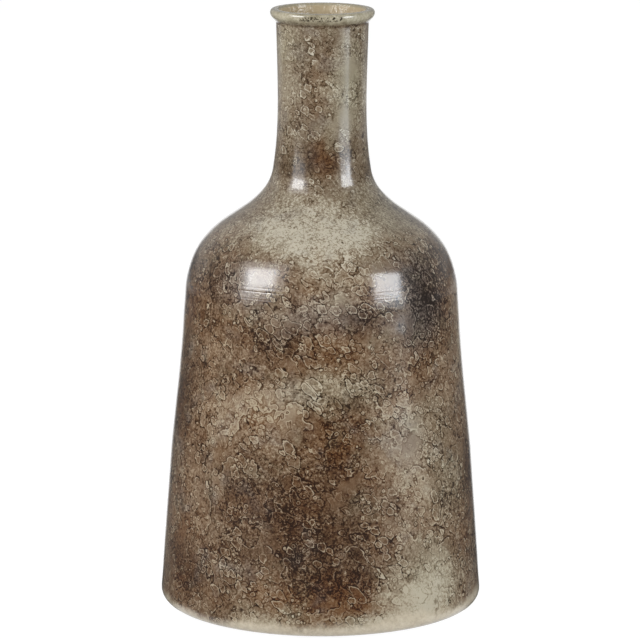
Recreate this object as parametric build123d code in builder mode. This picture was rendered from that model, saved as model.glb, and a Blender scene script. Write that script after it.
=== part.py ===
# Bottle vase in glazed stoneware, built up from five clay sections joined with slip.
# Millimetres, +Z up, origin on the table at the centre of the foot ring.
import os
from math import copysign, radians, tan

from build123d import *

# Sizes of the finished vase, over the glaze
base_d = 270.0  # the wall's lower end, where it would meet the underside
heel_r = 10.0  # rounding between the wall and the underside
wall_h = 245.0  # height of the tapered wall
wall_top_d = 228.2  # the wall's upper end
belly_swell = 1.8  # how far the middle of the wall stands out from a straight taper
shoulder_h = 94.0  # from the top of the wall to the root of the neck
neck_h = 149.5  # from the root of the neck to the underside of the lip
neck_d = 73.4  # the neck at its waist
neck_spread = 19.9  # how much wider the root of the neck is than its waist, on the radius
neck_flare = 1.7  # how much the neck opens again below the lip, on the radius
lip_h = 10.5  # height of the thick, flat-topped lip
lip_reach = 5.0  # how far the lip's edge stands out from the neck
crest_drawback = 0.4  # how far the crest lies in from the lip's edge
crest_w = 7.0  # level top of the crest, before its corners are rounded
lip_crease_r = 1.5  # crease where the lip leaves the neck
crest_in_r = 1.5  # rounding between the crest and the inside
funnel_h = 26.0  # the mouth narrows from the crest down to the straight bore

# Walls and coats
wall_t = 9.0  # body and shoulder, with both coats of glaze
neck_t = 6.7  # neck at its waist, with both coats of glaze
floor_t = 10.0  # floor over the recess, with its coat of glaze
floor_r = 14.0  # rounding where the wall meets the floor inside
glaze_t = 0.7  # each coat of glaze

# Foot ring, left bare so that the glaze stays off the kiln shelf
foot_h = 1.0  # height of the ring below the glazed heel
foot_w = 16.0  # width of the ring that stands on the table
foot_margin = 1.5  # from the ring to the start of the heel's rounding
foot_recess = 4.0  # depth of the hollow turned inside the ring
foot_edge_r = 0.6  # softened edges of the ring
recess_r = 3.0  # rounding in the corner of the hollow

# Joints between the clay sections: a ridge on one rim in a groove in the other, with slip between
slip_t = 1.0  # thickness of a ring of slip
slip_back = 0.5  # how far the slip stays back from both faces of the wall
ridge_h = 2.2  # height of the ridge
base_joint_h = 30.0  # the base's rim above the table
shoulder_joint_rise = 36.0  # the shoulder's joint above the top of the wall
lip_joint_drop = 4.0  # the lip's joint below the lip's crease

# Shares of the sizes above, which shape the curves between them
bend_share = 0.47  # how far a bend reaches along the shorter of its two runs
belly_share = 0.51  # height of the belly in the wall
shoulder_shares = ((0.025, 0.39), (0.324, 0.723))  # inwards and upwards, across the shoulder
neck_shares = ((0.72, 0.114), (0.935, 0.312), (1.0, 0.52))  # inwards and upwards, along the neck
lip_edge_share = 0.52  # height of the lip's edge in the lip
ridge_half_share = 0.3  # half the width of a joint's ridge in the clay's thickness
neck_joint_share = 0.2  # height of the neck's joint in the neck

os.makedirs("parts", exist_ok=True)


# Corner points as vectors, radius first and height second
def across(start, end, shares):
    return [start + Vector((end - start).X * inwards, (end - start).Y * up) for inwards, up in shares]


# The same corners with every run between them moved to its left
def moved_left(points, inset):
    runs = [(b - a).normalized() for a, b in zip(points, points[1:])]
    lefts = [run.rotate(Axis.Z, 90) for run in runs]
    mitres = [(a + b) * (1 / (1 + a.dot(b))) for a, b in zip(lefts, lefts[1:])]
    return [p + m * inset for p, m in zip(points, [lefts[0], *mitres, lefts[-1]])]


# Where the line from a to b reaches the given radius or height
def at_radius(a, b, radius):
    return a + (b - a) * ((radius - a.X) / (b.X - a.X))


def at_height(a, b, height):
    return a + (b - a) * ((height - a.Y) / (b.Y - a.Y))


# A bend's radius: its own where it has one, or else as large as its runs allow
def bend_radii(points, own):
    radii = []
    for number, (a, b, c) in enumerate(zip(points, points[1:], points[2:]), start=1):
        reach = bend_share * min((b - a).length, (c - b).length)
        widest = reach / tan(radians((b - a).get_angle(c - b)) / 2)
        radii.append(min(own.get(number, widest), widest))
    return radii


# The finished surface's corners, from the axis below, round the outside and the crest, and
# down the inside to the axis on the floor. The vase's material is always on their left.
wall_top_z = foot_h + wall_h
neck_root_z = wall_top_z + shoulder_h
lip_root_z = neck_root_z + neck_h
crest_z = lip_root_z + lip_h
floor_z = foot_recess + floor_t
neck_r = neck_d / 2
bore_r = neck_r - neck_t

heel = Vector(base_d / 2, foot_h)
wall_top = Vector(wall_top_d / 2, wall_top_z)
belly = heel + (wall_top - heel) * belly_share + Vector(belly_swell, 0)
neck_root = Vector(neck_r + neck_spread, neck_root_z)
neck_top = Vector(neck_r, lip_root_z)
lip_root = Vector(neck_r + neck_flare, lip_root_z)
lip_edge = lip_root + Vector(lip_reach, lip_h * lip_edge_share)
crest_out = Vector(lip_edge.X - crest_drawback, crest_z)
crest_in = Vector(crest_out.X - crest_w, crest_z)
bore_top = Vector(bore_r, crest_z - funnel_h)

shoulder_bends = across(wall_top, neck_root, shoulder_shares)
neck_bends = across(neck_root, neck_top, neck_shares)
outside = [heel, belly, wall_top, *shoulder_bends, neck_root, *neck_bends, lip_root, lip_edge, crest_out]

# The inside runs beside the outside, a wall's thickness in, as far as the straight bore
beside = moved_left(outside, wall_t)
root_number = outside.index(neck_root)
bore_foot = at_radius(beside[root_number], beside[root_number + 1], bore_r)
floor_corner = at_height(beside[0], beside[1], floor_z)
inside = [crest_in, bore_top, bore_foot, *beside[root_number:0:-1], floor_corner]

skin = [Vector(0, foot_h), *outside, *inside, Vector(0, floor_z)]
own_radii = {
    skin.index(heel): heel_r,
    skin.index(lip_root): lip_crease_r,
    skin.index(crest_in): crest_in_r,
    skin.index(floor_corner): floor_r,
}
skin_radii = bend_radii(skin, own_radii)


# The surface that lies the given depth under the finished one: its corners, and its bends'
# radii, which shrink where the vase bulges and grow where it is drawn in
def skin_under(depth):
    turns = [(b - a).cross(c - b).Z for a, b, c in zip(skin, skin[1:], skin[2:])]
    radii = [r - copysign(depth, turn) for r, turn in zip(skin_radii, turns)]
    return moved_left(skin, depth), radii


# Where the outer coat meets the inner one: half way along the level crest
crest_number = skin.index(crest_out)
crest_middle_r = (crest_out.X + crest_in.X) / 2
heel_turn = Vector(1, 0).get_angle(belly - heel)
heel_reach = heel_r * tan(radians(heel_turn) / 2)
foot_out_r = heel.X - heel_reach - foot_margin
foot_in_r = foot_out_r - foot_w


# The two coats of glaze as outlines on the finished surface, or on the clay under it
def outer_coat(depth):
    corners, radii = skin_under(depth)
    start = Vector(foot_out_r, foot_h + depth)
    crest_middle = Vector(crest_middle_r, crest_z - depth)
    return [start, *corners[1 : crest_number + 1], crest_middle], radii[:crest_number]


def inner_coat(depth):
    corners, radii = skin_under(depth)
    crest_middle = Vector(crest_middle_r, crest_z - depth)
    return [crest_middle, *corners[crest_number + 1 :]], radii[crest_number:]


# Half of the vase's section through one coat of glaze
def coat_section(coat):
    over, over_radii = coat(0)
    under, under_radii = coat(glaze_t)
    with BuildSketch() as section:
        with BuildLine():
            FilletPolyline(*over, radius=over_radii)
            FilletPolyline(*under, radius=under_radii)
            Line(over[0], under[0])
            Line(over[-1], under[-1])
        make_face()
    return section.sketch


# Half of the vase's section through the clay, with the foot ring and its hollow
def clay_section():
    outer, outer_radii = outer_coat(glaze_t)
    inner, inner_radii = inner_coat(glaze_t)
    foot = [
        Vector(0, foot_recess),
        Vector(foot_in_r, foot_recess),
        Vector(foot_in_r, 0),
        Vector(foot_out_r, 0),
    ]
    foot_radii = [recess_r, foot_edge_r, foot_edge_r, 0]
    with BuildSketch() as section:
        with BuildLine():
            FilletPolyline(*foot, *outer, radius=[*foot_radii, *outer_radii])
            FilletPolyline(*inner, radius=inner_radii)
            Line(inner[-1], foot[0])
        make_face()
    return section.sketch


clay = clay_section()

# Heights of the joints, each measured from the part of the vase that it follows
base_joint_z = base_joint_h
shoulder_joint_z = wall_top_z + shoulder_joint_rise
neck_joint_z = neck_root_z + neck_h * neck_joint_share
lip_joint_z = lip_root_z - lip_joint_drop
overrun = base_d / 2


# The ridge on one face of a joint, in the middle of the wall there, with the face's level ends
def joint_ridge(height):
    with BuildLine() as level:
        Line((0, height), (base_d, height))
    wall = clay.intersect(level.line)[0]
    middle_r = wall.center().X
    end_w = wall.length / 2 - slip_back
    half_w = wall.length * ridge_half_share
    return [
        Vector(middle_r - end_w, height),
        Vector(middle_r - half_w, height),
        Vector(middle_r, height + ridge_h),
        Vector(middle_r + half_w, height),
        Vector(middle_r + end_w, height),
    ]


def lifted(ridge, rise):
    return [corner + Vector(0, rise) for corner in ridge]


# A face of a joint, or a level one, from the axis to beyond the vase
def right_across(ridge):
    start = Vector(0, ridge[0].Y)
    end = Vector(base_d / 2 + overrun, ridge[-1].Y)
    return [start, *ridge[1:-1], end]


# Half of the clay's section between two such faces
def clay_between(lower, upper):
    with BuildSketch() as section:
        add(clay)
        with BuildLine():
            Polyline(*right_across(lower), *reversed(right_across(upper)), close=True)
        make_face(mode=Mode.INTERSECT)
    return section.sketch


below = [Vector(0, -overrun), Vector(base_d, -overrun)]
above = [Vector(0, crest_z + overrun), Vector(base_d, crest_z + overrun)]
base_joint = joint_ridge(base_joint_z)
shoulder_joint = joint_ridge(shoulder_joint_z)
neck_joint = joint_ridge(neck_joint_z)
lip_joint = joint_ridge(lip_joint_z)

# Clay sections, from the table up
with BuildPart() as base_slab:
    with BuildSketch(Plane.XZ):
        add(clay_between(below, base_joint))
    revolve(axis=Axis.Z)
base_slab.part.label = "base_slab"
export_step(base_slab.part, "parts/base_slab.step")

with BuildPart() as body_wall:
    with BuildSketch(Plane.XZ):
        add(clay_between(lifted(base_joint, slip_t), shoulder_joint))
    revolve(axis=Axis.Z)
body_wall.part.label = "body_wall"
export_step(body_wall.part, "parts/body_wall.step")

with BuildPart() as shoulder:
    with BuildSketch(Plane.XZ):
        add(clay_between(lifted(shoulder_joint, slip_t), neck_joint))
    revolve(axis=Axis.Z)
shoulder.part.label = "shoulder"
export_step(shoulder.part, "parts/shoulder.step")

with BuildPart() as neck:
    with BuildSketch(Plane.XZ):
        add(clay_between(lifted(neck_joint, slip_t), lip_joint))
    revolve(axis=Axis.Z)
neck.part.label = "neck"
export_step(neck.part, "parts/neck.step")

with BuildPart() as lip:
    with BuildSketch(Plane.XZ):
        add(clay_between(lifted(lip_joint, slip_t), above))
    revolve(axis=Axis.Z)
lip.part.label = "lip"
export_step(lip.part, "parts/lip.step")

# A ring of slip in each joint
joints = {
    "slip_base": base_joint,
    "slip_shoulder": shoulder_joint,
    "slip_neck": neck_joint,
    "slip_lip": lip_joint,
}
for name, joint in joints.items():
    with BuildPart() as slip:
        with BuildSketch(Plane.XZ):
            with BuildLine():
                Polyline(*joint, *reversed(lifted(joint, slip_t)), close=True)
            make_face()
        revolve(axis=Axis.Z)
    slip.part.label = name
    export_step(slip.part, f"parts/{name}.step")

# Coats of glaze: one from the foot ring up and over the lip, one down the inside to the floor
with BuildPart() as outer_glaze:
    with BuildSketch(Plane.XZ):
        add(coat_section(outer_coat))
    revolve(axis=Axis.Z)
outer_glaze.part.label = "outer_glaze"
export_step(outer_glaze.part, "parts/outer_glaze.step")

with BuildPart() as inner_glaze:
    with BuildSketch(Plane.XZ):
        add(coat_section(inner_coat))
    revolve(axis=Axis.Z)
inner_glaze.part.label = "inner_glaze"
export_step(inner_glaze.part, "parts/inner_glaze.step")

print("height", crest_z, "bore", 2 * bore_r, "floor", floor_z)
print("bends", [round(radius, 1) for radius in skin_radii])
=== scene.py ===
from math import ceil, cos, exp, pi, radians, sin, tan

import bmesh
import bpy
from mathutils import Matrix, Vector


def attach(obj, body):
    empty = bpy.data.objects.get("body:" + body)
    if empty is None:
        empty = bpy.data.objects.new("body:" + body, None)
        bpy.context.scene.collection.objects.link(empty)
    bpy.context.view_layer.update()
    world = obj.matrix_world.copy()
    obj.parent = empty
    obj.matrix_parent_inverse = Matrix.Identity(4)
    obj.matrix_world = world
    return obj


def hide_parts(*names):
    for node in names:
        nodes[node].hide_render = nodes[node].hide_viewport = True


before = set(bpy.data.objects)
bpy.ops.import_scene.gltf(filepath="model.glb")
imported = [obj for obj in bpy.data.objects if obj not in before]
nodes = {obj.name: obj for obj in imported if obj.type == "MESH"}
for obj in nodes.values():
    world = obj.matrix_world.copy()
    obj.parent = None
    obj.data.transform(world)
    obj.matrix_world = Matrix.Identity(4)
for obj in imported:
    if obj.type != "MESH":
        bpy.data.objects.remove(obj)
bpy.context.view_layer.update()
scene = bpy.context.scene
scene.view_settings.view_transform = "Standard"
mm = 0.001
print("frame loaded:", len(nodes), "nodes")


# the camera, as the photograph was taken, in metres
camera = {
    "distance": 3.3,
    "height": 0.9051,
    "aim": 0.2388,  # height of the point it looks at
    "lens": 226.96,
    "sensor": 36,
    "roll": 0.2,  # degrees
    "shift": -0.0022,
    "clip": (0.1, 60.0),
}


def placeCamera(values):
    lens = bpy.data.cameras.new("photoCamera")
    lens.sensor_width = values["sensor"]
    lens.lens = values["lens"]
    lens.shift_x = values["shift"]
    lens.clip_start, lens.clip_end = values["clip"]
    seen = bpy.data.objects.new("photoCamera", lens)
    scene.collection.objects.link(seen)
    place = Vector((0, -values["distance"], values["height"]))
    gaze = Vector((0, 0, values["aim"])) - place
    turn = gaze.to_track_quat("-Z", "Y").to_matrix().to_4x4()
    seen.matrix_world = Matrix.Translation(place) @ turn @ Matrix.Rotation(radians(values["roll"]), 4, "Z")
    scene.camera = seen


placeCamera(camera)
print("camera placed")


# shader helpers; a value is a number or the socket that gives it
def tint(red, green, blue):
    # from the 0 to 255 of a screen to linear light
    shares = [part / 255 for part in (red, green, blue)]
    return (*[s / 12.92 if s <= 0.04045 else ((s + 0.055) / 1.055) ** 2.4 for s in shares], 1)


def feed(tree, socket, value):
    if isinstance(value, bpy.types.NodeSocket):
        tree.links.new(value, socket)
    else:
        socket.default_value = value


def put(tree, kind, sockets=(), **settings):
    made = tree.nodes.new(kind)
    for name, value in settings.items():
        setattr(made, name, value)
    for key, value in dict(sockets).items():
        feed(tree, made.inputs[key], value)
    return made


def calc(tree, operation, *values):
    return put(tree, "ShaderNodeMath", enumerate(values), operation=operation).outputs[0]


def total(tree, value, *shares):
    for amount, share in shares:
        value = calc(tree, "MULTIPLY_ADD", amount, share, value)
    return value


def product(tree, value, *others):
    for other in others:
        value = calc(tree, "MULTIPLY", value, other)
    return value


def move(tree, operation, *values, scale=None):
    made = put(tree, "ShaderNodeVectorMath", enumerate(values), operation=operation)
    if scale is not None:
        feed(tree, made.inputs["Scale"], scale)
    return made.outputs["Value" if operation == "LENGTH" else "Vector"]


def axes(tree, place):
    made = put(tree, "ShaderNodeSeparateXYZ", {"Vector": place}).outputs
    return made["X"], made["Y"], made["Z"]


def span(tree, value, low, high, start=0.0, end=1.0, smooth=True):
    sockets = {"Value": value, "From Min": low, "From Max": high, "To Min": start, "To Max": end}
    kind = "SMOOTHSTEP" if smooth else "LINEAR"
    return put(tree, "ShaderNodeMapRange", sockets, interpolation_type=kind).outputs["Result"]


# one between two heights or distances, each given as a span that rises towards the inside
def between(tree, value, spans):
    first, second = spans
    return product(tree, span(tree, value, *first), span(tree, value, *second))


def noise(tree, place, scale, detail=2.0, rough=0.5, part="Fac"):
    sockets = {"Vector": place, "Scale": scale, "Detail": detail, "Roughness": rough}
    return put(tree, "ShaderNodeTexNoise", sockets).outputs[part]


def centred(tree, place, *shape):
    return calc(tree, "SUBTRACT", noise(tree, place, *shape), 0.5)


def drift(tree, place, scale, reach, detail=2.0, rough=0.5):
    wander = move(tree, "SUBTRACT", noise(tree, place, scale, detail, rough, "Color"), (0.5, 0.5, 0.5))
    return move(tree, "ADD", place, move(tree, "SCALE", wander, scale=reach))


# a Mix node keeps its two values from one socket on, and its result in another, by kind
def mixKind(tree, kind, first, result, share, under, over):
    sockets = {0: share, first: under, first + 1: over}
    return put(tree, "ShaderNodeMix", sockets, data_type=kind).outputs[result]


def blend(tree, share, under, over):
    return mixKind(tree, "RGBA", 6, 2, share, under, over)


def mixed(tree, share, under, over):
    return mixKind(tree, "FLOAT", 2, 0, share, under, over)


def ramp(tree, value, colours):
    made = put(tree, "ShaderNodeValToRGB", {"Fac": value})
    bar = made.color_ramp
    while len(bar.elements) < len(colours):
        bar.elements.new(0.5)
    for step, (element, colour) in enumerate(zip(bar.elements, colours)):
        element.position = step / (len(colours) - 1)
        element.color = tint(*colour)
    return made.outputs["Color"]


def bumped(tree, shader, height, distance, *labels):
    bump = put(tree, "ShaderNodeBump", {"Height": height, "Strength": 1.0, "Distance": distance})
    for label in labels:
        feed(tree, shader.inputs[label], bump.outputs[0])


def newGroup(name, inputs, outputs):
    tree = bpy.data.node_groups.new(name, "ShaderNodeTree")
    for label, kind in inputs:
        tree.interface.new_socket(label, in_out="INPUT", socket_type=kind)
    for label, kind in outputs:
        tree.interface.new_socket(label, in_out="OUTPUT", socket_type=kind)
    return tree, tree.nodes.new("NodeGroupInput").outputs, tree.nodes.new("NodeGroupOutput")


def fillGroup(tree, group, sockets):
    made = tree.nodes.new("ShaderNodeGroup")
    made.node_tree = group
    for key, value in sockets.items():
        feed(tree, made.inputs[key], value)
    return made.outputs


def emptyTree(block):
    block.use_nodes = True
    block.node_tree.nodes.clear()
    return block.node_tree


def newMaterial(name):
    material = bpy.data.materials.new(name)
    tree = emptyTree(material)
    shader = tree.nodes.new("ShaderNodeBsdfPrincipled")
    out = tree.nodes.new("ShaderNodeOutputMaterial")
    tree.links.new(shader.outputs[0], out.inputs[0])
    place = tree.nodes.new("ShaderNodeTexCoord").outputs["Object"]
    return material, tree, shader, place


# spots in the glaze
spot = {
    # depth over which a spot begins, in millimetres
    "edge": (-0.1, 0.3),
    # the rim's fading and the gap's darkening, over their widths; the dark gap is partly dark glaze, partly painted
    # shadow
    "rim": (0.4, 1.2),
    "gap": (-1.2, -0.2),
    # noise that bends a blister: scale over the cells', detail, roughness
    "bend": (1.1, 2.5, 0.6),
    "smallest": 0.4,  # radius of the smallest blister over the largest
    "merge": 0.17,  # how softly neighbours flatten each other
    # where blisters crowd: scale over the cells', and the noise's span
    "crowd": (0.28, (0.36, 0.6)),
    # a rim's strength by the blister's size
    "glint": (0.1, 1, 0.35, 1.1),
    "shore": (3, 0.55),  # detail and roughness of an island's shore
    "probe": 0.25,  # how far apart its slope is read, in millimetres
    "slope": 0.0004,  # keeps level places sound
    "cloudDepth": 0.08,  # half thickness of a cloud, in metres
    "cloudEdge": (0, 0.85),  # where its push fades in, from its edge to its middle
}
number, vector = "NodeSocketFloat", "NodeSocketVector"


# rim and dark gap of a spot, from the depth inside its edge in millimetres; the gap is partly dark glaze, partly
# painted shadow
def edgesGroup(values):
    tree, given, out = newGroup(
        "glazeEdges",
        [("Depth", number), ("Rim", number), ("Gap", number)],
        [("Inside", number), ("Rim", number), ("Gap", number)],
    )
    inside = span(tree, given["Depth"], *values["edge"])
    faded = span(tree, calc(tree, "DIVIDE", given["Depth"], given["Rim"]), *values["rim"], 1, 0)
    near = span(tree, calc(tree, "DIVIDE", given["Depth"], given["Gap"]), *values["gap"])
    feed(tree, out.inputs["Inside"], inside)
    feed(tree, out.inputs["Rim"], product(tree, inside, faded))
    feed(tree, out.inputs["Gap"], product(tree, near, calc(tree, "SUBTRACT", 1, inside)))
    return tree


edges = edgesGroup(spot)


# round blisters in the glaze: each a smooth spot with a pale rim and a dark gap round it, partly dark glaze and
# partly painted shadow
def blistersGroup(values):
    tree, given, out = newGroup(
        "glazeBlisters",
        [("Vector", vector), ("Scale", number), ("Size", number), ("Share", number), ("Bend", number),
         ("Rim", number), ("Gap", number)],
        [("Inside", number), ("Rim", number), ("Gap", number), ("Shade", number)],
    )
    scale = given["Scale"]
    finer, *bend = values["bend"]
    reach = calc(tree, "DIVIDE", given["Bend"], scale)
    place = drift(tree, given["Vector"], product(tree, scale, finer), reach, *bend)
    near = put(tree, "ShaderNodeTexVoronoi", {"Vector": place, "Scale": scale}, feature="F1")
    edge = put(tree, "ShaderNodeTexVoronoi", {"Vector": place, "Scale": scale}, feature="DISTANCE_TO_EDGE")
    chance = put(tree, "ShaderNodeSeparateColor", {"Color": near.outputs["Color"]}).outputs
    radius = product(tree, given["Size"], span(tree, chance[0], 0, 1, values["smallest"], 1, smooth=False))
    missing = calc(tree, "GREATER_THAN", chance[1], given["Share"])
    ball = calc(tree, "SUBTRACT", calc(tree, "SUBTRACT", radius, missing), near.outputs["Distance"])
    field = calc(tree, "SMOOTH_MIN", ball, edge.outputs["Distance"], values["merge"])
    depth = calc(tree, "DIVIDE", product(tree, field, 1 / mm), scale)
    made = fillGroup(tree, edges, {"Depth": depth, "Rim": given["Rim"], "Gap": given["Gap"]})
    wider, crowded = values["crowd"]
    crowd = span(tree, noise(tree, given["Vector"], product(tree, scale, wider)), *crowded)
    glint = product(tree, crowd, span(tree, chance[0], *values["glint"], smooth=False))
    feed(tree, out.inputs["Inside"], made["Inside"])
    feed(tree, out.inputs["Rim"], product(tree, made["Rim"], glint))
    feed(tree, out.inputs["Gap"], product(tree, made["Gap"], crowd))
    feed(tree, out.inputs["Shade"], chance[2])
    return tree


# wide islands with ragged shores, where a noise lies over a level; their shores get the same rim and dark gap,
# partly painted shadow
def islandsGroup(values):
    tree, given, out = newGroup(
        "glazeIslands",
        [("Vector", vector), ("Scale", number), ("Level", number), ("Rim", number), ("Gap", number)],
        [("Inside", number), ("Rim", number), ("Gap", number)],
    )
    probe = values["probe"] * mm
    here = noise(tree, given["Vector"], given["Scale"], *values["shore"])
    slopes = []
    for axis in ((probe, 0, 0), (0, probe, 0), (0, 0, probe)):
        beside = noise(tree, move(tree, "ADD", given["Vector"], axis), given["Scale"], *values["shore"])
        slopes.append(calc(tree, "SUBTRACT", beside, here))
    slope = move(tree, "LENGTH", put(tree, "ShaderNodeCombineXYZ", enumerate(slopes)).outputs[0])
    over = calc(tree, "SUBTRACT", here, given["Level"])
    steps = calc(tree, "DIVIDE", over, calc(tree, "ADD", slope, values["slope"]))
    depth = product(tree, steps, values["probe"])
    made = fillGroup(tree, edges, {"Depth": depth, "Rim": given["Rim"], "Gap": given["Gap"]})
    for label in ("Inside", "Rim", "Gap"):
        feed(tree, out.inputs[label], made[label])
    return tree


# one soft cloud, whose push is added to the tone
def cloudGroup(values):
    tree, given, out = newGroup(
        "glazeCloud",
        [("Vector", vector), ("Tone", number), ("Centre", vector), ("Turn", vector), ("Size", vector),
         ("Push", number)],
        [("Tone", number)],
    )
    sockets = {"Vector": given["Vector"], "Location": given["Centre"], "Rotation": given["Turn"],
               "Scale": given["Size"]}
    inside = put(tree, "ShaderNodeMapping", sockets, vector_type="TEXTURE").outputs[0]
    soft = put(tree, "ShaderNodeTexGradient", {"Vector": inside}, gradient_type="SPHERICAL").outputs["Fac"]
    share = span(tree, soft, *values["cloudEdge"])
    feed(tree, out.inputs["Tone"], total(tree, given["Tone"], (share, given["Push"])))
    return tree


# spots laid over the tone: calm inside, pale on the rim, dark in the gap, partly as painted shadow
def overlayGroup():
    tree, given, out = newGroup(
        "glazeOverlay",
        [("Tone", number), ("Calm", number), ("Inside", number), ("Rim", number), ("Gap", number),
         ("Cover", number), ("Bright", number), ("Dark", number)],
        [("Tone", number)],
    )
    tone = mixed(tree, product(tree, given["Inside"], given["Cover"]), given["Tone"], given["Calm"])
    tone = total(tree, tone, (given["Rim"], given["Bright"]))
    tone = calc(tree, "SUBTRACT", tone, product(tree, given["Gap"], given["Dark"]))
    feed(tree, out.inputs["Tone"], tone)
    return tree


blisters = blistersGroup(spot)
islands = islandsGroup(spot)
cloud = cloudGroup(spot)
overlay = overlayGroup()


def laidOver(tree, tone, calm, spots, cover, bright, dark):
    sockets = {label: spots[label] for label in ("Inside", "Rim", "Gap")}
    sockets.update({"Tone": tone, "Calm": calm, "Cover": cover, "Bright": bright, "Dark": dark})
    return fillGroup(tree, overlay, sockets)["Tone"]


# clouds on the vase's outside: azimuth from the front, height, half width, half height, push and any tilt
def clouded(tree, place, value, patches):
    for azimuth, height, wide, tall, push, *tilt in patches:
        radius = outlineRadius(height)
        turn = radians(azimuth)
        centre = (radius * sin(turn), -radius * cos(turn), height * mm)
        sockets = {"Vector": place, "Tone": value, "Centre": centre, "Turn": (0, radians(sum(tilt)), turn),
                   "Size": (wide * mm, spot["cloudDepth"], tall * mm), "Push": push}
        value = fillGroup(tree, cloud, sockets)["Tone"]
    return value


def outlineRadius(height):
    runs = [(r, z) for r, z, bend in outline["outside"]]
    for (r0, z0), (r1, z1) in zip(runs, runs[1:]):
        if z0 <= height <= z1:
            return (r0 + (r1 - r0) * (height - z0) / (z1 - z0)) * mm
    return runs[-1][0] * mm


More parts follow.
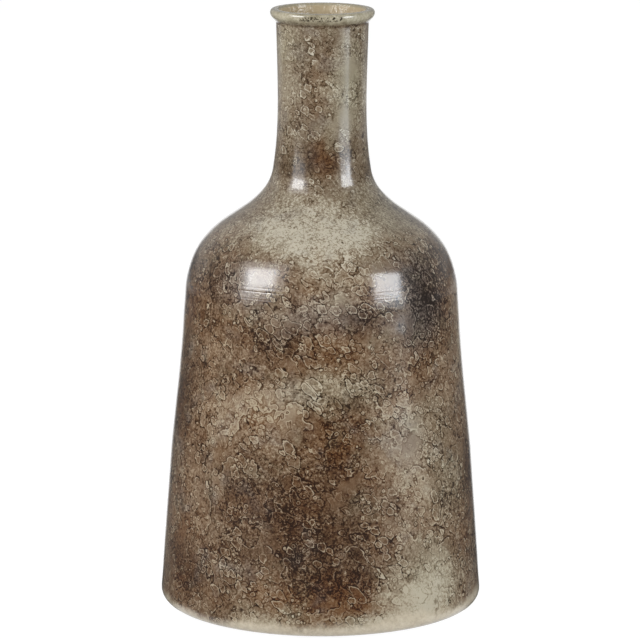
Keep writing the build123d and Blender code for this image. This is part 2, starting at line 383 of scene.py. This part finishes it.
# the outer glaze; a share is how much of an effect reaches the tone, where 0 is dark and 1 is pale
outerGlaze = {
    # colours from dark to pale, evenly spaced
    "greys": [(52, 35, 18), (94, 75, 53), (126, 108, 87), (155, 142, 120), (204, 195, 175)],
    "browns": [(42, 21, 4), (83, 57, 34), (119, 94, 70), (152, 131, 107), (189, 173, 147)],
    "rusts": [(39, 15, 2), (90, 51, 19), (121, 85, 52), (150, 121, 91), (183, 166, 138)],
    # greys of ash, which also paint the reflection's grey veil by the right shoulder highlight
    "ashAndSheenGreys": [(40, 34, 30), (86, 79, 74), (117, 108, 101), (148, 140, 130), (186, 178, 165)],
    "olives": [(48, 38, 26), (92, 81, 60), (136, 125, 101), (172, 162, 137), (206, 197, 174)],
    "pales": [(176, 158, 132), (212, 198, 173), (234, 224, 203)],
    # heights between which one part of the pattern gives way to the next, in metres
    "shoulder": (0.27, 0.316),  # the body's browns to greys
    "still": (0.292, 0.325),  # the body's blisters to a calmer glaze
    "neck": (0.338, 0.366),
    "lip": (0.4895, 0.4925),
    "heel": (0.004, -0.006),
    # drift that frays the clouds: scale, reach, detail, roughness
    "fray": (16, 0.04, 3, 0.55),
    # noises: scale, detail, roughness; spans: from low and high, to low and high
    "broadNoise": (22, 3, 0.55),
    "broad": (0.3, 0.7, 0.49, 0.67),
    "poolNoise": (26, 2, 0.5),
    "pool": (0.58, 0.7, 0, 0.5),
    "poolMost": 0.9,
    "patchNoise": (34, 2, 0.5),
    "patchy": (0.35, 0.62),
    # mottle, from a thumb's breadth down to a grain, and its shares above the body and on it
    "coarse": (60, 3, 0.6),
    "coarseShare": (0.28, 0.6),
    "middle": (170, 3, 0.6),
    "middleShare": (0.42, 0.8),
    "speck": (520, 3, 0.75),
    "speckShoulder": 1.75,
    "speckNeck": 1.7,
    "speckBody": (0.2, 0.6, 3.8, 1.8),  # by the tone of the clouds
    "calmCoarse": 0.3,  # in the calm glaze inside spots
    "calmSpeck": 0.8,
    # cracks: scale, width and depth
    "cracks": [(190, 0.035, 0.26), (95, 0.022, 0.36)],
    "crackNoise": (4, 0.6),
    "crackDrift": 0.8,  # reach times scale
    "crackDeeper": 1.2,  # above the body
    "crackPatch": 0.45,  # scale of the cracked patches over the cracks'
    "cracked": (0.42, 0.58),
    # islands, then blisters
    "shoreDrift": (70, 0.008),
    "islands": {"Scale": 38, "Level": 0.53, "Rim": 0.8, "Gap": 1.1},
    "islandLift": 0.05,  # paler inside
    "islandCover": 0.45,
    "islandBright": 0.4,
    "islandDark": 0.42,
    "lean": -40,  # degrees
    "leaning": (0.8, 1, 1.1),
    "slanted": (0.52, 1, 1.1),
    # space, scale, size, share, bend, rim, gap, cover, bright, dark, amount on the shoulder
    "blisters": [
        ("leaning", 62, 0.54, 0.45, 1.2, 0.8, 1.1, 0.55, 0.55, 0.42, 0.15),
        ("slanted", 100, 0.52, 0.6, 1.0, 0.75, 1.0, 0.6, 0.74, 0.42, 0.27),
        ("leaning", 130, 0.54, 0.7, 0.85, 0.75, 1.0, 0.55, 0.76, 0.44, 0.45),
        ("upright", 230, 0.46, 0.6, 0.55, 0.65, 0.8, 0.45, 0.66, 0.36, 0.3),
    ],
    "neckMost": 0.72,
    "neckAmount": 2,  # over the amount on the shoulder
    "shade": (-0.12, 0.12),  # from one blister to another
    "blisterRelief": 0.18,
    "speckRelief": 0.4,
    # the lip's olive, darker down its underside partly by painted shade, its dark pits in front, and the crease
    # under it, dark partly by painted shade
    "lipToneAndShade": (0.491, 0.4955, 0.56, 0.79),
    "lipSpeck": 0.8,
    "lipCoarse": 0.5,
    "lipMiddle": 0.6,
    "pitDrift": (200, 0.004),
    "pitNoise": (420, 3, 0.7),
    "pits": (0.5, 0.57),
    "pitDepth": -0.9,
    "pitFront": (-0.036, -0.0415),
    "pitHeights": ((0.4935, 0.4948), (0.4985, 0.4972)),
    # the crease under the lip is darkened partly along the joint, partly by painted shade
    "crease": ((0.4875, 0.489), (0.4915, 0.49)),
    "creaseDepth": 0.18,
    # the pale heel's edge: scale, detail and roughness of two noises, and their reach in metres
    "heelWaves": [((14, 2, 0.5), -0.014), ((110, 2, 0.6), -0.008)],
    "paleTone": 0.5,
    "paleShare": 0.8,  # of speck and middle mottle
    # hues beside the greys and browns
    "rustNoise": (42, 3, 0.6),
    "rust": (0.35, 0.75, 0, 0.6),
    "rustShare": (0.2, 1.0),  # above the body, on it
    "ashNoise": (47, 2, 0.5),
    "ashAndSheen": (0.52, 0.75, 0, 0.35),
    "oliveNoise": (63, 2, 0.5),
    "olive": (0.52, 0.75, 0, 0.32),
    "finish": {"Roughness": 0.32, "Specular IOR Level": 0.3, "Coat Weight": 1.0, "Coat IOR": 1.6,
               "Coat Roughness": 0.1},
    # level lines near the joint under the shoulder, and the groove on it
    "lines": (6, 6, 420),
    "lineNoise": (1, 2, 0.6),
    "lineHeights": ((0.262, 0.272), (0.2845, 0.2835)),
    "lineRelief": 1.5,
    "joint": 0.2814,
    "groove": 0.0009,
    "grooveAside": 0.05,  # deepest this far to the left
    "grooveFade": (0.025, 0.06, 1, 0.35),
    "grooveRelief": -1.0,
    "relief": 0.12 * mm,
    # clouds: azimuth from the front, height, half width, half height, push and any tilt
    "clouds": [
        # neck
        (22, 482, 14, 12, 0.08),
        (3, 480, 16, 24, -0.12),
        (14, 458, 14, 22, 0.07),
        (-55, 450, 24, 70, 0.15),
        (30, 440, 18, 62, 0.11),
        (6, 438, 14, 16, 0.12),
        (72, 432, 20, 44, 0.24),
        (36, 404, 18, 16, 0.09),
        (-14, 402, 14, 16, -0.14),
        (60, 395, 24, 32, -0.1),
        (0, 382, 26, 22, -0.22),
        # painted shade, dimming the tone where the highlight at the neck's right root falls
        (36, 380, 14, 10, -0.14),
        (-40, 378, 26, 16, -0.2),
        (66, 362, 36, 12, -0.17),
        # shoulder
        (-4, 346, 54, 14, 0.12),
        (-10, 326, 80, 32, 0.38),
        (22, 326, 48, 26, 0.12),
        (-58, 322, 22, 20, 0.09),
        (-18, 318, 14, 12, 0.1),
        (-10, 308, 28, 18, 0.16),
        (82, 298, 40, 36, -0.28),
        (71, 296, 32, 26, -0.18),
        # partly darker glaze, partly painted shade at the shoulder's left edge
        (-84, 286, 40, 42, -0.42),
        (-60, 286, 48, 32, -0.2),
        (2, 284, 34, 36, 0.18),
        (50, 282, 50, 40, -0.55),
        (-20, 266, 22, 18, 0.15),
        (20, 264, 32, 22, -0.27),
        # body
        (-67, 254, 42, 20, -0.18),
        (-46, 252, 50, 24, -0.14),
        (-18, 246, 42, 26, -0.16, 10),
        (0, 246, 36, 16, 0.08),
        (52, 246, 52, 40, -0.22),
        (-48, 232, 46, 18, 0.1),
        # partly paler glaze, partly painted light on the body's right side, where the lamps fall short
        (80, 232, 34, 60, 0.32),
        (9, 227, 12, 10, 0.12),
        (-72, 226, 24, 20, -0.12),
        (-28, 226, 28, 22, -0.12),
        (-72, 220, 22, 50, -0.08),
        (4, 214, 40, 18, 0.17),
        (0, 205, 14, 14, -0.14),
        (-20, 194, 66, 24, 0.19, -12),
        (-62, 182, 18, 12, -0.1),
        (-24, 179, 26, 12, 0.1),
        (-68, 178, 38, 56, -0.2),
        (-42, 178, 50, 28, 0.15),
        (-8, 178, 14, 12, -0.12),
        (26, 178, 16, 14, -0.12),
        (6, 168, 38, 44, -0.24),
        (32, 160, 54, 62, 0.19),
        (62, 150, 34, 28, -0.1),
        (6, 148, 34, 20, -0.15),
        (35, 124, 34, 34, 0.12),
        (76, 124, 32, 50, -0.3),
        (-58, 120, 34, 12, 0.12),
        (-25, 120, 54, 38, -0.12),
        (-40, 116, 14, 14, 0.12),
        (41, 108, 20, 20, 0.18),
        (54, 106, 34, 20, -0.18),
        (30, 104, 16, 14, 0.1),
        (-30, 100, 20, 26, -0.22),
        (16, 94, 22, 70, -0.16),
        # foot
        (-4, 90, 66, 70, -0.3),
        (30, 90, 20, 46, 0.09),
        (46, 76, 44, 34, 0.12),
        (-10, 72, 14, 20, -0.28),
        (-32, 66, 44, 28, -0.18),
        (62, 66, 40, 26, -0.1),
        (-80, 60, 24, 26, 0.14),
        (20, 52, 12, 14, -0.12),
        (-60, 50, 54, 50, -0.24),
        (-30, 46, 16, 12, -0.08),
        (41, 46, 20, 16, -0.1),
        (19, 44, 14, 12, -0.12),
        (6, 42, 56, 34, -0.32),
        (-44, 32, 36, 20, -0.14),
        (-10, 32, 14, 16, -0.18),
        (42, 30, 64, 40, 0.45),
        (54, 26, 28, 26, -0.14),
        (84, 22, 26, 30, 0.14),
        (22, 12, 30, 14, 0.25),
        (-20, 10, 50, 12, 0.25),
        # sides and back
        (170, 326, 80, 30, 0.32),
        (-175, 240, 80, 50, -0.2),
        (125, 200, 80, 60, 0.26, -12),
        (-130, 150, 80, 70, -0.25, 15),
        (-110, 70, 60, 60, 0.16),
        (95, 60, 60, 60, -0.2),
        (150, 60, 80, 60, 0.34),
    ],
    "rustClouds": [
        (-4, 440, 18, 50, 0.25),
        (2, 384, 20, 22, 0.7),
        (-38, 300, 40, 20, 0.25),
        (-67, 252, 46, 24, 0.4),
        (4, 240, 40, 32, 0.5),
        (-24, 180, 32, 20, 0.4),
        (6, 168, 36, 42, 0.5),
        (-165, 120, 70, 60, 0.5),
        (-8, 106, 40, 30, 0.3),
        (-65, 82, 46, 22, 0.4),
        (60, 80, 40, 40, 0.25),
        (-62, 25, 50, 36, 0.35),
        (-2, 22, 95, 46, 1.0),
    ],
    "oliveClouds": [
        (-50, 474, 24, 30, 0.5),
        (34, 440, 24, 66, 0.7),
        (64, 335, 60, 36, 0.5),
        (170, 330, 80, 40, 0.5),
        (4, 206, 60, 26, 0.5),
        (130, 180, 80, 70, 0.4),
        (50, 172, 44, 30, 0.35),
        (55, 118, 50, 60, 0.45),
        (44, 40, 64, 50, 0.7),
        (-20, 10, 80, 20, 0.4),
        (20, 8, 50, 16, 0.7),
    ],
    "ashAndSheenClouds": [
        # partly a painted reflection: the grey veil beside the right shoulder highlight
        (46, 300, 40, 22, 0.4),
        (-42, 285, 42, 30, 0.45),
        (0, 268, 70, 26, 0.5),
        # partly a painted reflection: the grey veil below the right shoulder highlight
        (43, 266, 46, 48, 0.75),
        (-150, 260, 70, 50, 0.5),
        (36, 162, 32, 40, 0.35),
    ],
    # where the glaze lies smooth
    "pools": [
        (-62, 450, 20, 40, 0.6),
        (31, 450, 13, 22, 0.9),
        (30, 412, 12, 22, 0.9, 8),
        (-31, 294, 26, 18, 0.7),
        (31, 294, 26, 20, 0.9),
        (-14, 186, 20, 16, 0.9),
        (33, 152, 28, 20, 0.8),
        (-38, 140, 26, 16, 0.5),
        (8, 128, 34, 18, 0.4, 10),
        (40, 28, 52, 28, 0.55),
    ],
    # where the body's blisters reach higher up the shoulder, in metres
    "highClouds": [
        (-66, 312, 56, 34, -0.02),
        (58, 312, 56, 34, -0.028),
        (150, 312, 90, 34, -0.02),
    ],
    # where the pale heel reaches higher (below zero) or lower, in metres
    "heelClouds": [
        (-24, 6, 44, 30, -0.005),
        (30, 6, 46, 30, -0.011),
        (-40, 12, 34, 30, 0.006),
        (-74, 6, 60, 30, -0.001),
        (76, 6, 40, 30, -0.008),
        (140, 6, 80, 30, -0.008),
    ],
}


def outerGlazeMaterial(values):
    material, tree, shader, place = newMaterial("outerGlaze")
    across, depth, height = axes(tree, place)
    loose = drift(tree, place, *values["fray"])
    upper = span(tree, height, *values["shoulder"])
    high = clouded(tree, loose, height, values["highClouds"])
    body = calc(tree, "SUBTRACT", 1, span(tree, high, *values["still"]))
    neck = span(tree, height, *values["neck"])
    lip = span(tree, height, *values["lip"])

    # broad clouds, and still pools where the glaze ran smooth
    broad = span(tree, noise(tree, loose, *values["broadNoise"]), *values["broad"], smooth=False)
    broad = clouded(tree, loose, broad, values["clouds"])
    pool = span(tree, noise(tree, loose, *values["poolNoise"]), *values["pool"])
    pool = calc(tree, "MINIMUM", clouded(tree, loose, pool, values["pools"]), values["poolMost"])
    lively = calc(tree, "SUBTRACT", 1, pool)

    # mottle
    coarse = centred(tree, loose, *values["coarse"])
    middle = centred(tree, loose, *values["middle"])
    speck = centred(tree, place, *values["speck"])
    grain = product(tree, speck, lively)
    above = mixed(tree, neck, values["speckShoulder"], values["speckNeck"])
    grained = mixed(tree, body, above, span(tree, broad, *values["speckBody"]))
    tone = total(tree, broad, (product(tree, coarse, lively), mixed(tree, body, *values["coarseShare"])),
                 (product(tree, middle, lively), mixed(tree, body, *values["middleShare"])), (grain, grained))
    calm = total(tree, broad, (coarse, values["calmCoarse"]), (grain, values["calmSpeck"]))

    # dark cracks, fine and coarse
    for scale, width, deep in values["cracks"]:
        level = centred(tree, drift(tree, place, scale, values["crackDrift"] / scale), scale, *values["crackNoise"])
        crack = span(tree, calc(tree, "ABSOLUTE", level), width, 0.0)
        where = span(tree, noise(tree, place, scale * values["crackPatch"]), *values["cracked"])
        share = mixed(tree, body, deep * values["crackDeeper"], deep)
        tone = calc(tree, "SUBTRACT", tone, product(tree, crack, where, lively, share))

    # islands, then blisters from wide to small
    shore = fillGroup(tree, islands, {"Vector": drift(tree, place, *values["shoreDrift"]), **values["islands"]})
    patchy = span(tree, noise(tree, loose, *values["patchNoise"]), *values["patchy"])
    tone = laidOver(tree, tone, total(tree, calm, (body, values["islandLift"])), shore,
                    product(tree, body, values["islandCover"]), product(tree, body, patchy, values["islandBright"]),
                    product(tree, body, patchy, values["islandDark"]))
    turned = put(tree, "ShaderNodeVectorRotate", {"Vector": place, "Angle": radians(values["lean"])},
                 rotation_type="Y_AXIS").outputs[0]
    spaces = {"upright": place}
    for label in ("leaning", "slanted"):
        spaces[label] = move(tree, "MULTIPLY", turned, values[label])
    relief = product(tree, speck, values["speckRelief"])
    for space, scale, size, share, bend, rim, gap, cover, bright, dark, shoulder in values["blisters"]:
        spots = fillGroup(tree, blisters, {"Vector": spaces[space], "Scale": scale, "Size": size, "Share": share,
                                           "Bend": bend, "Rim": rim, "Gap": gap})
        slender = min(values["neckMost"], shoulder * values["neckAmount"])
        amount = product(tree, mixed(tree, neck, mixed(tree, body, shoulder, 1.0), slender), lively)
        fresh = calc(tree, "ADD", calm, span(tree, spots["Shade"], 0, 1, *values["shade"], smooth=False))
        tone = laidOver(tree, tone, fresh, spots, *[product(tree, amount, part) for part in (cover, bright, dark)])
        relief = total(tree, relief, (spots["Rim"], product(tree, amount, values["blisterRelief"])))

    # the lip, the crease under it with its painted shade, and the pale heel
    pits = span(tree, noise(tree, drift(tree, place, *values["pitDrift"]), *values["pitNoise"]), *values["pits"])
    front = product(tree, span(tree, depth, *values["pitFront"]), between(tree, height, values["pitHeights"]))
    # the lip's tone rises with height: partly the olive glaze, partly painted shade darkening its underside
    lipShaded = total(tree, span(tree, height, *values["lipToneAndShade"]), (speck, values["lipSpeck"]),
                  (coarse, values["lipCoarse"]), (middle, values["lipMiddle"]),
                  (product(tree, pits, front), values["pitDepth"]))
    tone = mixed(tree, lip, tone, lipShaded)
    # darker in the crease under the lip: partly the joint's dark line, partly painted shade
    crease = between(tree, height, values["crease"])
    tone = calc(tree, "SUBTRACT", tone, product(tree, crease, values["creaseDepth"]))
    wave = total(tree, height, *[(noise(tree, place, *shape), reach) for shape, reach in values["heelWaves"]])
    heel = span(tree, clouded(tree, place, wave, values["heelClouds"]), *values["heel"])

    # hues
    greys, browns, rusts, ashAndSheenGreys, olives = (
        ramp(tree, tone, values[label]) for label in ("greys", "browns", "rusts", "ashAndSheenGreys", "olives"))
    rust = span(tree, noise(tree, loose, *values["rustNoise"]), *values["rust"], smooth=False)
    rust = clouded(tree, loose, product(tree, rust, mixed(tree, body, *values["rustShare"])), values["rustClouds"])
    rust = product(tree, calc(tree, "MINIMUM", rust, 1), calc(tree, "SUBTRACT", 1, lip))
    paint = blend(tree, rust, blend(tree, upper, browns, greys), rusts)
    # grey: ash in the glaze, and partly a painted reflection round the right shoulder highlight
    ashAndSheen = span(tree, noise(tree, loose, *values["ashNoise"]), *values["ashAndSheen"])
    ashAndSheen = clouded(tree, loose, ashAndSheen, values["ashAndSheenClouds"])
    paint = blend(tree, calc(tree, "MINIMUM", ashAndSheen, 1), paint, ashAndSheenGreys)
    olive = span(tree, noise(tree, loose, *values["oliveNoise"]), *values["olive"])
    olive = clouded(tree, loose, olive, values["oliveClouds"])
    paint = blend(tree, calc(tree, "MINIMUM", calc(tree, "MAXIMUM", olive, lip), 1), paint, olives)
    pale = total(tree, values["paleTone"], (speck, values["paleShare"]), (middle, values["paleShare"]))
    feed(tree, shader.inputs["Base Color"], blend(tree, heel, paint, ramp(tree, pale, values["pales"])))
    for label, value in values["finish"].items():
        shader.inputs[label].default_value = value

    # relief: the level lines and the groove come last
    level = put(tree, "ShaderNodeMapping", {"Vector": place, "Scale": values["lines"]}).outputs[0]
    lines = product(tree, noise(tree, level, *values["lineNoise"]), between(tree, height, values["lineHeights"]))
    off = calc(tree, "ABSOLUTE", calc(tree, "SUBTRACT", height, values["joint"]))
    aside = calc(tree, "ABSOLUTE", calc(tree, "ADD", across, values["grooveAside"]))
    groove = product(tree, span(tree, off, values["groove"], 0), span(tree, aside, *values["grooveFade"]))
    relief = total(tree, relief, (lines, values["lineRelief"]), (groove, values["grooveRelief"]))
    bumped(tree, shader, relief, values["relief"], "Normal", "Coat Normal")
    return material


# spun pieces, in millimetres
outline = {
    "segments": 208,
    "step": {"outside": 2.6, "inside": 3.3},  # length of the facets along the outline
    "finest": 5,  # fewest facets in a bend
    "coat": 0.7,
    "weld": 0.001,  # corners nearer than this are one
    "sharp": 50,  # degrees past which an edge is shaded sharp
    # radius, height and bend of each knuckle
    "outside": [
        (122.77, 1, 0),
        (135, 1, 10),
        (126.14, 125.95, 3885.9),
        (114.1, 246, 567.3),
        (112.66, 282.66, 71.19),
        (95.47, 313.96, 68.84),
        (56.6, 340, 73.86),
        (42.27, 357.04, 36.7),
        (37.99, 386.64, 275.5),
        (36.7, 417.74, 448.1),
        (38.4, 489.5, 1.5),
        (43.4, 494.96, 5.46),
        (43, 500, 2.57),
        (39.5, 500, 0),
    ],
    "inside": [
        (39.5, 500, 0),
        (36, 500, 1.5),
        (30, 474, 110.1),
        (30, 357.66, 41.14),
        (50.53, 333.23, 105.8),
        (88.64, 307.71, 60.52),
        (103.75, 280.19, 62.59),
        (105.12, 245.37, 538.7),
        (117.17, 125.18, 3589.9),
        (125.06, 14, 14),
        (0, 14, 0),
    ],
    # height, half height and depth of the hollows and swells left by throwing
    "rings": {
        "outside": [
            (450, 30, -0.22),
            (336, 8, 0.25),
            (319, 8, -0.2),
            (300, 9, 0.4),
            (281, 8, -0.2),
            (246, 14, 0.5),
            (196, 26, -0.35),
            (134, 18, 0.3),
            (22, 14, -0.25),
        ],
        "inside": [],
    },
}


def drawOutline(bm, knuckles, step, finest):
    points = [Vector((r, 0, z)) * mm for r, z, bend in knuckles]
    tip = bm.verts.new(points[0])
    for a, b, c, knuckle in zip(points, points[1:], points[2:], knuckles[1:]):
        before, after = (b - a).normalized(), (c - b).normalized()
        turn, bend = before.angle(after), knuckle[2] * mm
        tip = drawTo(bm, tip, b - before * bend * tan(turn / 2), step)
        axis = before.cross(after).normalized()
        centre = tip.co + axis.cross(before) * bend
        steps = max(finest, ceil(bend * turn / step))
        spun = bmesh.ops.spin(bm, geom=[tip], cent=centre, axis=axis, angle=turn, steps=steps)
        tip = [part for part in spun["geom_last"] if isinstance(part, bmesh.types.BMVert)][0]
    drawTo(bm, tip, points[-1], step)


def drawTo(bm, tip, goal, step):
    run = goal - tip.co
    count = max(1, ceil(run.length / step))
    for _ in range(count):
        made = bmesh.ops.extrude_vert_indiv(bm, verts=[tip])
        tip = made["verts"][0]
        bmesh.ops.translate(bm, verts=[tip], vec=run / count)
    return tip


def pressRings(bm, rings):
    for vert in bm.verts:
        radius = vert.co.xy.length
        push = sum(depth * exp(-(((vert.co.z / mm - z) / half) ** 2)) for z, half, depth in rings)
        if radius > 0:
            vert.co.xy *= 1 + push * mm / radius


def spunPiece(name, side, values):
    bm = bmesh.new()
    drawOutline(bm, values[side], values["step"][side] * mm, values["finest"])
    bmesh.ops.spin(bm, geom=bm.verts[:] + bm.edges[:], cent=(0, 0, 0), axis=(0, 0, 1), angle=2 * pi,
                   steps=values["segments"], use_merge=True)
    bmesh.ops.remove_doubles(bm, verts=bm.verts, dist=values["weld"] * mm)
    pressRings(bm, values["rings"][side])
    bmesh.ops.recalc_face_normals(bm, faces=bm.faces)
    widest = max(bm.faces, key=lambda face: face.calc_center_median().xy.length)
    outward = widest.normal.xy.dot(widest.calc_center_median().xy) > 0
    if outward != (side == "outside"):
        bmesh.ops.reverse_faces(bm, faces=bm.faces)
    bmesh.ops.solidify(bm, geom=bm.faces[:], thickness=values["coat"] * mm)
    mesh = bpy.data.meshes.new(name)
    bm.to_mesh(mesh)
    bm.free()
    mesh.shade_smooth()
    mesh.set_sharp_from_angle(angle=radians(values["sharp"]))
    piece = bpy.data.objects.new(name, mesh)
    scene.collection.objects.link(piece)
    print(name, "faces:", len(mesh.polygons))
    return piece


outerCoat = spunPiece("outerGlazeCoat", "outside", outline)
outerCoat.data.materials.append(outerGlazeMaterial(outerGlaze))
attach(outerCoat, "root")
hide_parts("outer_glaze")


# the inner glaze
innerGlaze = {
    "tans": [(168, 148, 116), (196, 178, 146), (216, 200, 172)],
    "crest": [(136, 126, 102), (172, 163, 140), (194, 186, 164)],
    "edge": (0.4975, 0.4995),  # heights between which the tan gives way to the crest's olive
    "edgeWave": 0.002,
    "cloudy": (40, 3, 0.6),
    "grain": (500, 3, 0.6),
    "share": 0.5,  # of each of the two in the tone
    "rough": 0.14,
    "foldDrift": (90, 0.01),
    "folds": 240,
    "relief": 1.3 * mm,
}


def innerGlazeMaterial(values):
    material, tree, shader, place = newMaterial("innerGlaze")
    height = axes(tree, place)[2]
    cloudy = noise(tree, place, *values["cloudy"])
    grain = noise(tree, place, *values["grain"])
    tone = total(tree, 0.0, (cloudy, values["share"]), (grain, values["share"]))
    wave = total(tree, height, (calc(tree, "SUBTRACT", grain, 0.5), values["edgeWave"]))
    crest = span(tree, wave, *values["edge"])
    colour = blend(tree, crest, ramp(tree, tone, values["tans"]), ramp(tree, tone, values["crest"]))
    feed(tree, shader.inputs["Base Color"], colour)
    shader.inputs["Roughness"].default_value = values["rough"]
    folds = noise(tree, drift(tree, place, *values["foldDrift"]), values["folds"])
    bumped(tree, shader, folds, values["relief"], "Normal")
    return material


innerCoat = spunPiece("innerGlazeCoat", "inside", outline)
innerCoat.data.materials.append(innerGlazeMaterial(innerGlaze))
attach(innerCoat, "root")
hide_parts("inner_glaze")


# bare clay, and the slip in its joints
earth = {
    "clay": [(160, 142, 116), (184, 167, 141), (206, 191, 166)],
    "slip": [(140, 124, 102), (162, 146, 122), (180, 166, 142)],
    "grain": (900, 4, 0.7),
    "rough": 0.85,
    "relief": 0.2 * mm,
}


def earthMaterial(name, colours, values):
    material, tree, shader, place = newMaterial(name)
    grain = noise(tree, place, *values["grain"])
    feed(tree, shader.inputs["Base Color"], ramp(tree, grain, colours))
    shader.inputs["Roughness"].default_value = values["rough"]
    bumped(tree, shader, grain, values["relief"], "Normal")
    return material


bareClay = earthMaterial("bareClay", earth["clay"], earth)
jointSlip = earthMaterial("jointSlip", earth["slip"], earth)
for name, node in nodes.items():
    node.data.materials.clear()
    node.data.materials.append(jointSlip if name.startswith("slip") else bareClay)
print("clay and slip done")


# light and floor; what is mirrored only, the camera and the diffuse light don't see
studio = {
    # azimuth from the front, elevation, width, height, roll, radiance, colour
    "boxes": {
        "leftBox": (-57.5, 28.5, 0.44, 0.39, 18, 7.1, (0.97, 0.985, 1)),
        "leftHalo": (-57.5, 32, 0.7, 0.65, 18, 1.5, (0.97, 0.985, 1)),
        "leftHaze": (-56, 11, 0.55, 0.16, 12, 2.0, (0.97, 0.985, 1)),
        "rightBox": (59.4, 21, 0.425, 0.425, -17, 7.5, (0.92, 0.96, 1)),
        "rightHaze": (58, 4.7, 0.51, 0.25, -12, 2.15, (0.83, 0.92, 1)),
    },
    "distance": 1.5,
    "middle": 0.27,  # height that the boxes face
    "fill": 0.31,
    "backFill": 1.6,  # light on the vase's back
    "backFrom": (0.7, 0.95),
    "gloss": 0.03,  # mirrored only: the dark room
    # mirrored only: half width of the white paper behind, over its distance, and where it begins
    "paper": (0.16, 0.38),
    "paperFrom": (0.02, 0.1),
    "paperFoot": 0.12,  # half width at the vase, on the floor
    "least": 0.001,  # distance that keeps the division sound
    # mirrored only: the lit wall beside it, its glow low and high, and where it begins
    "wallGlow": (0.08, 0.27),
    "wallFrom": (0.1, 0.7),
    "wallHeight": (-0.03, 0.05),
    # the floor
    "reach": 12.0,
    "drop": 0.2 * mm,  # keeps its face apart from the foot's
    "glow": 0.96,  # as the camera sees it
    "shade": 0.12,  # how white it is under light and shadow, as the camera sees it
    "bounce": 0.85,  # the same for diffuse light
    "mirrored": 0.12,  # the same in reflections
    # mirrored only: a lit strip behind, and a glow close before the heel
    "strip": ((1.1, 2.0), (3.0, 2.4)),
    "stripGlow": 0.3,
    "heelReach": (0.165, 0.145),
    "heelFront": (-0.03, -0.06),
    "heelGlow": 0.6,
}


def softBox(name, azimuth, elevation, wide, tall, roll, radiance, colour):
    lamp = bpy.data.lights.new(name, "AREA")
    lamp.shape = "RECTANGLE"
    lamp.size, lamp.size_y = wide * studio["distance"], tall * studio["distance"]
    lamp.energy = radiance * lamp.size * lamp.size_y * pi
    lamp.color = colour
    box = bpy.data.objects.new(name, lamp)
    scene.collection.objects.link(box)
    az, el = radians(azimuth), radians(elevation)
    away = Vector((sin(az) * cos(el), -cos(az) * cos(el), sin(el)))
    turn = away.to_track_quat("Z", "Y").to_matrix().to_4x4()
    place = away * studio["distance"] + Vector((0, 0, studio["middle"]))
    box.matrix_world = Matrix.Translation(place) @ turn @ Matrix.Rotation(radians(roll), 4, "Z")
    box.visible_camera = False


for name, values in studio["boxes"].items():
    softBox(name, *values)


# whether a ray is mirrored, and whether it goes to the camera
def rays(tree):
    path = tree.nodes.new("ShaderNodeLightPath").outputs
    return path["Is Glossy Ray"], calc(tree, "MAXIMUM", path["Is Camera Ray"], path["Is Transmission Ray"])


# white paper behind the vase, by the direction in which a ray runs backwards past it
def backdrop(tree, run, past):
    across, back, up = run
    aside = calc(tree, "SUBTRACT", calc(tree, "ABSOLUTE", across), past)
    slant = calc(tree, "DIVIDE", aside, calc(tree, "MAXIMUM", back, studio["least"]))
    low, high = studio["paperFrom"]
    return product(tree, span(tree, slant, *studio["paper"], 1, 0), span(tree, back, low, high),
                   span(tree, up, high, low))


def studioWorld(values):
    world = bpy.data.worlds.new("studio")
    tree = emptyTree(world)
    glossy, seen = rays(tree)
    gaze = axes(tree, tree.nodes.new("ShaderNodeTexCoord").outputs["Generated"])
    back, up = gaze[1:]
    wall = product(tree, span(tree, back, *values["wallFrom"]),
                   span(tree, up, *values["wallHeight"], *values["wallGlow"]))
    mirrored = calc(tree, "ADD", calc(tree, "MAXIMUM", wall, backdrop(tree, gaze, 0)), values["gloss"])
    fill = span(tree, back, *values["backFrom"], values["fill"], values["backFill"])
    strength = mixed(tree, seen, mixed(tree, glossy, fill, mirrored), 1.0)
    light = put(tree, "ShaderNodeBackground", {"Color": (1, 1, 1, 1), "Strength": strength})
    out = tree.nodes.new("ShaderNodeOutputWorld")
    tree.links.new(light.outputs[0], out.inputs[0])
    scene.world = world


studioWorld(studio)


def floorMaterial(values):
    material = bpy.data.materials.new("paleFloor")
    tree = emptyTree(material)
    glossy, seen = rays(tree)
    unseen = mixed(tree, glossy, values["bounce"], values["mirrored"])
    paint = put(tree, "ShaderNodeBsdfDiffuse", {"Color": mixed(tree, seen, unseen, values["shade"])})
    place = tree.nodes.new("ShaderNodeTexCoord").outputs["Object"]
    run = axes(tree, place)
    back = run[1]
    end, past = values["strip"][1]
    beyond = span(tree, back, past, end, 0, values["wallGlow"][0])
    strip = between(tree, back, values["strip"])
    heel = product(tree, span(tree, move(tree, "LENGTH", place), *values["heelReach"]),
                   span(tree, back, *values["heelFront"]))
    lit = total(tree, beyond, (strip, values["stripGlow"]), (heel, values["heelGlow"]))
    mirrored = product(tree, calc(tree, "MAXIMUM", lit, backdrop(tree, run, values["paperFoot"])), glossy)
    strength = mixed(tree, seen, mirrored, values["glow"])
    glow = put(tree, "ShaderNodeEmission", {"Color": (1, 1, 1, 1), "Strength": strength})
    both = put(tree, "ShaderNodeAddShader")
    tree.links.new(paint.outputs[0], both.inputs[0])
    tree.links.new(glow.outputs[0], both.inputs[1])
    out = tree.nodes.new("ShaderNodeOutputMaterial")
    tree.links.new(both.outputs[0], out.inputs[0])
    return material


def paleFloor(values):
    bm = bmesh.new()
    bmesh.ops.create_grid(bm, x_segments=1, y_segments=1, size=values["reach"])
    bmesh.ops.translate(bm, verts=bm.verts, vec=(0, 0, -values["drop"]))
    mesh = bpy.data.meshes.new("paleFloor")
    bm.to_mesh(mesh)
    bm.free()
    mesh.materials.append(floorMaterial(values))
    floor = bpy.data.objects.new("paleFloor", mesh)
    scene.collection.objects.link(floor)


paleFloor(studio)
print("studio lit")
